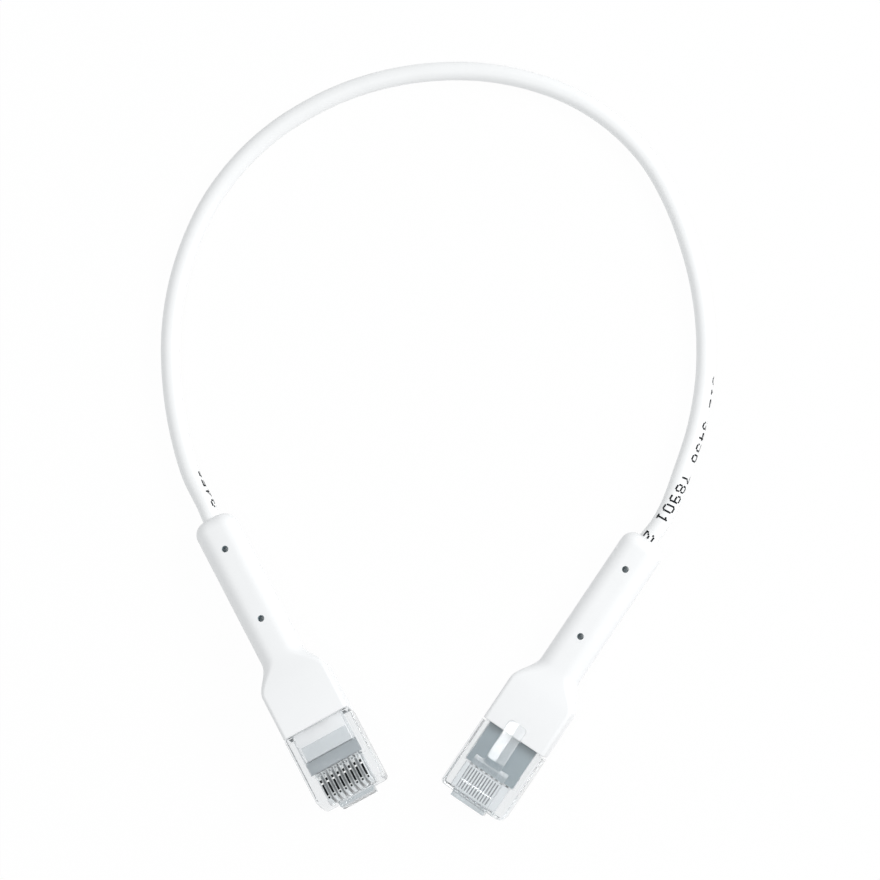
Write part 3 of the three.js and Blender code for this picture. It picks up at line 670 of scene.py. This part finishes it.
def jacket_tube(name, line):
    """A piece of the white jacket along a line of points."""
    curve = bpy.data.curves.new("jacket_line", "CURVE")
    curve.dimensions = "3D"
    spline = curve.splines.new("POLY")
    spline.points.add(len(line) - 1)
    for point, place in zip(spline.points, line):
        point.co = (*place, 1)
    tube = run_tree(
        new_object("jacket_line", curve), CORD_TREE, name,
        Diameter=CORD_DIAMETER * MM, Sides=CORD_SIDES, Material=JACKET_WHITE,
    )
    return finish_piece(tube, smooth_angle=40)


CORD_EXITS = {end: PLUGS[end] @ Vector((-BOOT_LENGTH, 0, 0)) for end in ENDS}
FREE_LINE = smooth_line([CORD_EXITS["a"], *(Vector(p) * MM for p in ROUTE), CORD_EXITS["b"]], ROUTE_STEPS)


def make_cord():
    """The white jacket: the free stretch, with a short run into each boot."""
    inside = {end: PLUGS[end] @ Vector((-BOOT_LENGTH + CORD_INSERT, 0, 0)) for end in ENDS}
    line = [inside["a"], *FREE_LINE, inside["b"]]
    cord = jacket_tube("cord_jacket", line)
    keep(cord, "cable", "jacket_white", "cable_jacket")
    return cord, line


def make_jacket_end(end):
    """The jacket's straight run inside a boot, seen at the bottom of the pin holes."""
    rear = -BOOT_LENGTH + CORD_INSERT + JACKET_END_GAP
    ends = [PLUGS[end] @ Vector((x, 0, 0)) for x in (rear, JACKET_END)]
    return keep(jacket_tube(f"jacket_end_{end}", ends), "cable", "jacket_white")


# ---- Shapes, joins and cuts ----

def quarter_turn(steps):
    """The sine and cosine at equal steps from 0 to 90 degrees."""
    angles = [step / steps * math.pi / 2 for step in range(steps + 1)]
    return [(math.sin(angle), math.cos(angle)) for angle in angles]


def rounded_ring(x, half_width, half_height, corner):
    """A rectangle with round corners in y and z at one x, counterclockwise seen from the nose."""
    corner_steps = 10
    ring = []
    for quarter, (sign_y, sign_z) in enumerate([(1, 1), (-1, 1), (-1, -1), (1, -1)]):
        for step in range(corner_steps + 1):
            angle = (quarter + step / corner_steps) * math.pi / 2
            ring.append((
                x,
                sign_y * (half_width - corner) + corner * math.cos(angle),
                sign_z * (half_height - corner) + corner * math.sin(angle),
            ))
    return ring


def loft(name, rings, material):
    """A closed solid of one material over rings that follow each other."""
    bm = bmesh.new()
    loops = [[bm.verts.new(p) for p in ring] for ring in rings]
    count = len(rings[0])
    for here, after in zip(loops, loops[1:]):
        for j in range(count):
            k = (j + 1) % count
            bm.faces.new((here[j], here[k], after[k], after[j]))
    bm.faces.new(list(reversed(loops[0])))
    bm.faces.new(loops[-1])
    bmesh.ops.recalc_face_normals(bm, faces=bm.faces)
    return object_of(name, bm, material)


def add_box(bm, xs, ys, zs):
    """A box between two values on each axis."""
    made = bmesh.ops.create_cube(bm, size=1)["verts"]
    for v in made:
        v.co = [pair[0] + (c + 0.5) * (pair[1] - pair[0]) for c, pair in zip(v.co, (xs, ys, zs))]


def add_rod(bm, radius, start, end, sides=32):
    """A round rod between two points."""
    start, end = Vector(start), Vector(end)
    turn = (end - start).to_track_quat("Z", "Y").to_matrix().to_4x4()
    bmesh.ops.create_cone(
        bm, segments=sides, radius1=radius, radius2=radius, depth=(end - start).length, cap_ends=True,
        matrix=Matrix.Translation((start + end) / 2) @ turn,
    )


def add_prism(bm, outline, z0, z1):
    """An outline in x and y, counterclockwise from above, between two heights."""
    low = [bm.verts.new((x, y, z0)) for x, y in outline]
    high = [bm.verts.new((x, y, z1)) for x, y in outline]
    bm.faces.new(list(reversed(low)))
    bm.faces.new(high)
    for j in range(len(outline)):
        k = (j + 1) % len(outline)
        bm.faces.new((low[j], low[k], high[k], high[j]))


def cut_by(piece, name, operation, *cutters):
    """The piece joined with, or cut by, closed meshes; a cutter's material goes on the faces it makes."""
    for cutter in cutters:
        modifier = piece.modifiers.new("cut", "BOOLEAN")
        modifier.operation = operation
        modifier.solver = "EXACT"
        modifier.object = cutter
        modifier.material_mode = "TRANSFER"
    made = baked(piece, name)
    for cutter in cutters:
        mesh = cutter.data
        bpy.data.objects.remove(cutter)
        bpy.data.meshes.remove(mesh)
    return made


def solid_of(name, material, add_shape, *values):
    """A solid of one material, from a function that adds a shape with these values to a bmesh."""
    bm = bmesh.new()
    add_shape(bm, *values)
    return object_of(name, bm, material)


def add_slots(bm, run, width, heights, places):
    """Equal boxes side by side, one at each place across the plug."""
    for y in places:
        add_box(bm, run, (y - width / 2, y + width / 2), heights)


def places_across(count, pitch):
    """Equal places side by side across a plug, centred."""
    reach = (count - 1) * pitch / 2
    return [reach - i * pitch for i in range(count)]


CONTACT_PLACES = places_across(CONTACT_COUNT, CONTACT_PITCH)


# ---- Boots ----

def smoothstep(t):
    """Runs from 0 to 1 with a level start and end."""
    return t * t * (3 - 2 * t)


def boot_rings():
    """The boot's sections from its round end, along the neck and the flare, to its head's rounded front."""
    neck = (BOOT_NECK_WIDTH / 2, BOOT_NECK_HEIGHT / 2, BOOT_NECK_CORNER)
    head = (BOOT_HEAD_WIDTH / 2, BOOT_HEAD_HEIGHT / 2, BOOT_HEAD_CORNER)
    end_steps, flare_steps, front_steps = 9, 18, 4
    rings = []
    for sine, cosine in quarter_turn(end_steps):
        inset = BOOT_END_ROUND * (1 - sine)
        x = -BOOT_LENGTH + BOOT_END_ROUND * (1 - cosine)
        rings.append(rounded_ring(x, *(size - inset for size in neck)))
    flare_start = -BOOT_HEAD_LENGTH - BOOT_FLARE_LENGTH
    for step in range(flare_steps + 1):
        share = step / flare_steps
        sizes = [a + (b - a) * smoothstep(share) for a, b in zip(neck, head)]
        rings.append(rounded_ring(flare_start + share * BOOT_FLARE_LENGTH, *sizes))
    for sine, cosine in quarter_turn(front_steps):
        inset = BOOT_FRONT_ROUND * (1 - cosine)
        x = -BOOT_FRONT_GAP - BOOT_FRONT_ROUND * (1 - sine)
        rings.append(rounded_ring(x, *(size - inset for size in head)))
    return rings


def make_boot(end):
    """A white boot, hollowed for the housing's tang, the inner mould and the cord, with its pin holes, whose walls
    are painted darker as shade.
    """
    solid = loft("boot_solid", boot_rings(), BOOT_WHITE)
    (rear_x, rear_half), (front_x, front_half), half_height = FLANGE_POCKET
    flange = [(rear_x, -rear_half), (front_x, -front_half), (front_x, front_half), (rear_x, rear_half)]
    bore_ends = ((-BOOT_LENGTH - CUT_PAST, 0, 0), (rear_x + CUT_PAST, 0, 0))
    cutters = [
        solid_of("tang_cut", BOOT_WHITE, add_box, *TANG_POCKET),
        solid_of("flange_cut", BOOT_WHITE, add_prism, flange, -half_height, half_height),
        solid_of("bore_cut", BOOT_WHITE, add_rod, CORD_HOLE_DIAMETER / 2, *bore_ends),
    ]
    for x in PIN_HOLE_PLACES:
        pin = (PIN_HOLE_DIAMETER / 2, (x, 0, -BOOT_NECK_HEIGHT), (x, 0, BOOT_NECK_HEIGHT), PIN_HOLE_SIDES)
        cutters.append(solid_of("pin_cut", HOLE_PAINTED_SHADE, add_rod, *pin))
    boot = cut_by(solid, f"white_boot_{end}", "DIFFERENCE", *cutters)
    return fitted(boot, end, "cable", "boot_white", f"boot_{end}", smooth_angle=40)


# ---- Pieces that refine a frame node ----

def joined_copy(node):
    """A node's mesh with its loose triangles joined, in the frame's metres."""
    bm = bmesh.new()
    bm.from_mesh(frame["nodes"][node].data)
    bmesh.ops.remove_doubles(bm, verts=bm.verts, dist=MERGE_DISTANCE)
    return bm


def flat_faced_copy(node, end):
    """A node's mesh with its flat faces whole, in its plug's own millimetres."""
    bm = joined_copy(node)
    bmesh.ops.dissolve_limit(bm, angle_limit=math.radians(FLAT_ANGLE), verts=bm.verts, edges=bm.edges)
    bm.transform(PLUGS[end].inverted())
    return bm


def dressed(node, name, material, slot_name, edge_mm, end):
    """A finer copy of a node on the cable's own body, with its edges rounded."""
    solid = object_of("dressing", flat_faced_copy(node, end))
    bevel = solid.modifiers.new("edges", "BEVEL")
    bevel.width = edge_mm
    bevel.segments = 2
    bevel.limit_method = "ANGLE"
    bevel.angle_limit = math.radians(EDGE_ANGLE)
    bevel.use_clamp_overlap = True
    return fitted(baked(solid, name), end, "cable", slot_name, node, material=material)


def make_wire(number):
    """A wire with a round section, from the frame's five-sided one: its ends stay square."""
    node = f"wire_{number}"
    bm = joined_copy(node)
    bm.normal_update()
    for v in bm.verts:
        v.co += v.normal * (WIRE_SWELL * MM)
    bmesh.ops.join_triangles(
        bm, faces=bm.faces, angle_face_threshold=math.radians(WIRE_JOIN_ANGLE), angle_shape_threshold=math.pi,
    )
    creases = bm.edges.layers.float.new("crease_edge")
    for edge in bm.edges:
        if len(edge.link_faces) == 2 and edge.calc_face_angle() > math.radians(WIRE_CREASE_ANGLE):
            edge[creases] = 1
    wire = object_of("wire_line", bm)
    rounder = wire.modifiers.new("round", "SUBSURF")
    rounder.levels = rounder.render_levels = 1
    piece = finish_piece(baked(wire, f"insulated_wire_{number}"), smooth_angle=50, material=INSULATION)
    return keep(piece, "cable", "wire_insulation", node)


# ---- Printing on the cord ----

def at_distance(line, distance):
    """A point on a line and the direction there, by its distance from the line's start."""
    for p, q in zip(line, line[1:]):
        run = (q - p).length
        if distance <= run:
            return p.lerp(q, distance / run), (q - p).normalized()
        distance -= run
    return line[-1].copy(), (line[-1] - line[-2]).normalized()


def ramp(pairs, x):
    """Straight-line interpolation in (x, y) pairs."""
    for (x0, y0), (x1, y1) in zip(pairs, pairs[1:]):
        if x <= x1:
            return y0 + (y1 - y0) * max(0.0, x - x0) / (x1 - x0)
    return pairs[-1][1]


def print_dots():
    """The place and outward direction of every dot of every printed digit."""
    dots = []
    radius = CORD_DIAMETER / 2
    along_pitch, across_pitch = PRINT_DOT_PITCH
    whole = line_length(FREE_LINE) / MM
    for text, first, turns in PRINT_RUNS:
        origin = whole if first < 0 else 0
        for i, character in enumerate(text):
            if character == " ":
                continue
            for row, cells in enumerate(DIGITS[character].split()):
                for column, cell in enumerate(cells):
                    if cell == "0":
                        continue
                    place = first + i * PRINT_CHARACTER_PITCH + (column - MIDDLE_COLUMN) * along_pitch
                    if origin + place > whole:
                        continue
                    centre, forward = at_distance(FREE_LINE, (origin + place) * MM)
                    up = (Vector((0, 0, 1)) - forward * forward.z).normalized()
                    outside = up.cross(forward)
                    turn = math.radians(ramp(turns, place)) + (MIDDLE_ROW - row) * across_pitch / radius
                    facing = up * math.cos(turn) + outside * math.sin(turn)
                    dots.append((centre + facing * (radius * MM), facing))
    return dots


def make_print():
    """The printed digits on the cord, one low dot at each place."""
    dots = print_dots()
    mesh = bpy.data.meshes.new("dot_places")
    mesh.from_pydata([place for place, _ in dots], [], [])
    facing = mesh.attributes.new("facing", "FLOAT_VECTOR", "POINT")
    facing.data.foreach_set("vector", [x for _, direction in dots for x in direction])
    piece = run_tree(
        new_object("dot_places", mesh), DOTS_TREE, "printed_numbers",
        Diameter=PRINT_DOT * MM, Height=PRINT_HEIGHT * MM, Material=INK,
    )
    piece.data.shade_flat()
    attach(piece, "cable")
    return piece


# ---- Latches ----

def latch_top(x):
    """The height of the latch's inner face, which leans away from the plug towards the tip."""
    return LATCH_TOP - (LATCH_END - x) * LATCH_SLOPE


def slab_ring(x, half_width, thickness, crown=0.0):
    """A flat section below the latch's top face, with round corners. Its outer face is crowned.

    Points close to the corners keep each flat face's shading flat."""
    corner = LATCH_EDGE
    high = latch_top(x)
    low = high - thickness
    inner = half_width - corner
    across = (-1, -0.94, -0.6, -0.3, 0, 0.3, 0.6, 0.94, 1)
    arc_steps = 8

    def arc(side, z, first):
        turns = [(first + step * 90 / arc_steps) * math.pi / 180 for step in range(1, arc_steps)]
        return [(x, side * inner + corner * math.cos(t), z + corner * math.sin(t)) for t in turns]

    low_edge = low + crown + corner
    high_edge = high - corner
    side_heights = (low_edge, low_edge + LATCH_EDGE_SUPPORT, high_edge - LATCH_EDGE_SUPPORT, high_edge)
    ring = [(x, inner * share, low + crown * share**2) for share in across]
    ring += arc(1, low_edge, -90)
    ring += [(x, half_width, z) for z in side_heights]
    ring += arc(1, high_edge, 0)
    ring += [(x, -inner * share, high) for share in across]
    ring += arc(-1, high_edge, 90)
    ring += [(x, -half_width, z) for z in reversed(side_heights)]
    ring += arc(-1, low_edge, 180)
    return ring


def paint_from(piece, *runs):
    """Gives the faces past each x the material that goes with it."""
    mesh = piece.data
    for start, material in runs:
        mesh.materials.append(material)
        for face in mesh.polygons:
            if face.center.x > start:
                face.material_index = len(mesh.materials) - 1


def make_latch(end):
    """A lever of even thickness up to its kink, the facet past it, and the wide root with its two catches."""
    half_lever = LEVER_WIDTH / 2
    tip_steps = 6
    lever_rings = []
    for sine, cosine in quarter_turn(tip_steps):
        x = LATCH_TIP + LEVER_TIP_CORNER * (1 - cosine)
        half = half_lever - LEVER_TIP_CORNER * (1 - sine)
        lever_rings.append(slab_ring(x, half, LEVER_THICKNESS, crown=LEVER_CROWN))
    lever_rings.append(slab_ring(LEVER_KINK, half_lever, LEVER_THICKNESS, crown=LEVER_CROWN))
    for past, thickness in LEVER_FACET:
        lever_rings.append(slab_ring(LEVER_KINK + past, half_lever, thickness))
    root_rings = [slab_ring(x, LATCH_ROOT_WIDTH / 2, thickness) for x, thickness in ROOT_PROFILE]
    lever = loft("lever", lever_rings, CLEAR_LEVER)
    # Past the kink the lever, and over the nose the root, take the painted-shade tint.
    paint_from(lever, (LEVER_KINK, CLEAR_PAINTED_SHADE))
    root = loft("root", root_rings, CLEAR_CATCH)
    paint_from(root, (ROOT_PROFILE[1][0], CLEAR), (NOSE[0][0], CLEAR_PAINTED_SHADE))
    latch = cut_by(lever, f"clear_latch_{end}", "UNION", root)
    return fitted(latch, end, f"latch_{end}", "clear_plastic", f"latch_{end}", smooth_angle=14)


# ---- Housings ----

def plan_ring(z, rear, front, half_width, corner):
    """A rectangle in x and y at one z, with round corners at its front."""
    corner_steps = 6
    ring = [(rear, -half_width, z)]
    for side in (-1, 1):
        for sine, cosine in quarter_turn(corner_steps):
            along, across = (sine, cosine) if side < 0 else (cosine, sine)
            ring.append((front - corner * (1 - along), side * (half_width - corner * (1 - across)), z))
    ring.append((rear, half_width, z))
    return ring


def body_rings():
    """The housing's plan at each height: rounded edges below and above, and the front that leans back."""
    edge_steps = 4
    rings = []
    for sine, cosine in quarter_turn(edge_steps):
        inset = BODY_EDGE * (1 - sine)
        z = -BODY_HALF_HEIGHT + BODY_EDGE * (1 - cosine)
        rings.append(plan_ring(z, 0, BODY_LENGTH - inset / 2, BODY_HALF_WIDTH - inset, FRONT_CORNER))
    rings.append(plan_ring(FRONT_BEVEL_START, 0, BODY_LENGTH, BODY_HALF_WIDTH, FRONT_CORNER))
    slope = FRONT_BEVEL_LENGTH / (BODY_HALF_HEIGHT - FRONT_BEVEL_START)
    for sine, cosine in quarter_turn(edge_steps):
        inset = BODY_EDGE * (1 - cosine)
        z = BODY_HALF_HEIGHT - BODY_EDGE * (1 - sine)
        front = BODY_LENGTH - slope * (z - FRONT_BEVEL_START)
        rings.append(plan_ring(z, 0, front - inset / 2, BODY_HALF_WIDTH - inset, FRONT_CORNER))
    return rings


def nose_rings():
    """The nose's plan at each height, drawn in at its rounded edges."""
    (rear, front), half_width, (low, high) = NOSE
    edges = [(low + depth, inset) for depth, inset in NOSE_EDGE]
    edges += [(high - depth, inset) for depth, inset in reversed(NOSE_EDGE)]
    return [plan_ring(z, rear, front - inset, half_width - inset, NOSE_CORNER) for z, inset in edges]


def add_side_profile(bm, outline, half_width):
    """An outline in x and z, drawn across the plug to both sides of its middle."""
    near = [bm.verts.new((x, -half_width, z)) for x, z in outline]
    far = [bm.verts.new((x, half_width, z)) for x, z in outline]
    bm.faces.new(near)
    bm.faces.new(list(reversed(far)))
    for j in range(len(outline)):
        k = (j + 1) % len(outline)
        bm.faces.new((near[k], near[j], far[j], far[k]))
    bmesh.ops.recalc_face_normals(bm, faces=bm.faces)


def make_housing(end):
    """The clear housing: body, tang and nose in one, hollowed and slotted, with its window and tongue."""
    body = loft("body", body_rings(), CLEAR)
    # The nose takes the painted-shade tint.
    nose = loft("nose", nose_rings(), CLEAR_PAINTED_SHADE)
    tang = solid_of("tang", CLEAR, add_box, *TANG)
    body = cut_by(body, "body", "UNION", nose, tang)
    cuts = [
        solid_of("cavity", CLEAR, add_box, *CAVITY),
        solid_of("channel", CLEAR, add_box, *WIRE_CHANNEL),
        solid_of("window", CLEAR, add_box, *WINDOW),
        solid_of("slots", CLEAR_SLOT, add_slots, *SLOT, CONTACT_PLACES),
        solid_of("grooves", CLEAR, add_slots, *SIDE_GROOVES, SIDE_GROOVE_PLACES),
    ]
    body = cut_by(body, "body", "DIFFERENCE", *cuts)
    tongue = solid_of("tongue", CLEAR_TONGUE, add_side_profile, TONGUE, TONGUE_HALF_WIDTH)
    housing = cut_by(body, f"clear_housing_{end}", "UNION", tongue)
    return fitted(housing, end, "cable", "clear_plastic", f"plug_housing_{end}")


def make_load_bar(end):
    """The pale comb: wire grooves above, and fine ribs with one cross rib below, the faces between the ribs
    painted dark as shade.
    """
    bar = solid_of("bar", COMB_WHITE, add_box, *LOAD_BAR)
    floor = LOAD_BAR[2][0]
    heights = (floor - CUT_PAST, floor + RELIEF_DEPTH)
    places = places_across(RELIEF_COUNT, RELIEF_PITCH)
    cuts = [solid_of("grooves", COMB_WHITE, add_slots, *WIRE_GROOVE, CONTACT_PLACES)]
    for run in RELIEF_RUNS:
        cuts.append(solid_of("relief", COMB_PAINTED_SHADE, add_slots, run, RELIEF_WIDTH, heights, places))
    bar = cut_by(bar, f"pale_load_bar_{end}", "DIFFERENCE", *cuts)
    return fitted(bar, end, "cable", "pale_comb", f"load_bar_{end}")


# ---- Contacts ----

def make_contacts(end):
    """The eight blades of a plug: the frame's first one, widened, with its crown faces flagged for the painted
    dark, copied across.
    """
    bm = flat_faced_copy(f"contact_{end}_1", end)
    bm.transform(Matrix.Diagonal((1, BLADE_WIDENING, 1, 1)) @ Matrix.Translation((0, -CONTACT_PLACES[0], 0)))
    blade = object_of("blade", bm)
    crown = blade.data.attributes.new("crown", "FLOAT", "FACE")
    for face in blade.data.polygons:
        flank = abs(face.normal.y) >= CROWN_SIDE_LIMIT
        crown.data[face.index].value = float(face.center.z > CROWN_START_HEIGHT and not flank)
    row = run_tree(
        blade, ROW_TREE, f"contact_blades_{end}",
        Count=CONTACT_COUNT, Pitch=CONTACT_PITCH, Material=CONTACT_METAL,
    )
    nodes = [f"contact_{end}_{i + 1}" for i in range(CONTACT_COUNT)]
    return fitted(row, end, "cable", "contact_metal", *nodes)


# ---- Camera, light and floor ----

def make_camera():
    """The camera at the photograph's viewing angle, leaning a little off the vertical."""
    away = Vector((*CAMERA_LEAN, 0)).normalized() * math.sin(CAMERA_TILT)
    away += Vector((0, 0, math.cos(CAMERA_TILT)))
    target = Vector(CAMERA_TARGET)
    right = Vector((0, 1, 0)).cross(away).normalized()
    up = away.cross(right)
    data = bpy.data.cameras.new("camera")
    data.lens = CAMERA_LENS
    data.sensor_width = CAMERA_SENSOR
    data.clip_start, data.clip_end = CAMERA_CLIP
    camera = new_object("camera", data)
    turn = Matrix((right, up, away)).transposed().to_4x4()
    camera.matrix_world = Matrix.Translation(target + away * CAMERA_DISTANCE) @ turn
    bpy.context.scene.camera = camera


def add_lamp(name, direction, distance, size, power):
    """A round white lamp that faces the cable. It isn't seen through the clear plastic."""
    data = bpy.data.lights.new(name, "AREA")
    data.shape = "DISK"
    data.size = size
    data.energy = power
    lamp = new_object(name, data)
    lamp.visible_transmission = False
    away = Vector(direction).normalized()
    turn = away.to_track_quat("Z", "Y").to_matrix().to_4x4()
    lamp.matrix_world = Matrix.Translation(Vector(LAMP_TARGET) + away * distance) @ turn


def seen_plainly(tree):
    """1 for rays from the camera, off gloss and through clear plastic, 0 for light that falls on things."""
    path = tree.nodes.new("ShaderNodeLightPath").outputs
    seen = maths(tree, "MAXIMUM", path["Is Camera Ray"], path["Is Glossy Ray"])
    return maths(tree, "MAXIMUM", seen, path["Is Transmission Ray"])


def make_world():
    """Even light on the cable, and a brighter plain grey where the world itself is seen."""
    world = bpy.data.worlds.new("studio")
    bpy.context.scene.world = world
    world.use_nodes = True
    tree = world.node_tree
    tree.nodes.clear()
    light = add_node(tree, "ShaderNodeBackground", Color=(*WORLD_TINT, 1), Strength=WORLD_LEVEL)
    plain = add_node(tree, "ShaderNodeBackground", Strength=1)
    mix_on_surface(tree, seen_plainly(tree), light, plain, tree.nodes.new("ShaderNodeOutputWorld"))


def make_floor():
    """A pale floor just below the cable, which looks white and keeps the cable's shadow."""
    material, tree, shader = new_material("white_floor")
    tree.nodes.remove(shader)
    diffuse = add_node(tree, "ShaderNodeBsdfDiffuse", Color=(FLOOR_GREY, FLOOR_GREY, FLOOR_GREY, 1))
    glow = add_node(tree, "ShaderNodeEmission", Strength=1)
    share = maths(tree, "MULTIPLY", seen_plainly(tree), FLOOR_GLOW)
    mix_on_surface(tree, share, diffuse, glow, tree.nodes["Material Output"])
    bm = bmesh.new()
    half = FLOOR_HALF
    corners = [(-half, -half), (half, -half), (half, half), (-half, half)]
    bm.faces.new([bm.verts.new((x, y, -FLOOR_DROP)) for x, y in corners])
    object_of("floor", bm, material)


# ---- The scene ----

make_camera()
cord, cord_line = make_cord()
numbers = make_print()
wires = [make_wire(number) for number in range(1, CONTACT_COUNT + 1)]
for end in ENDS:
    make_boot(end)
    make_jacket_end(end)
    make_housing(end)
    dressed(f"wire_carrier_{end}", f"grey_carrier_{end}", SLATE, "slate_insert", CARRIER_EDGE, end)
    make_load_bar(end)
    dressed(f"inner_mould_{end}", f"white_inner_mould_{end}", MOULD_WHITE, "mould_white", MOULD_EDGE, end)
    make_latch(end)
    make_contacts(end)

make_world()
for lamp in LAMPS:
    add_lamp(*lamp)
make_floor()

bpy.context.scene.view_settings.view_transform = "Standard"
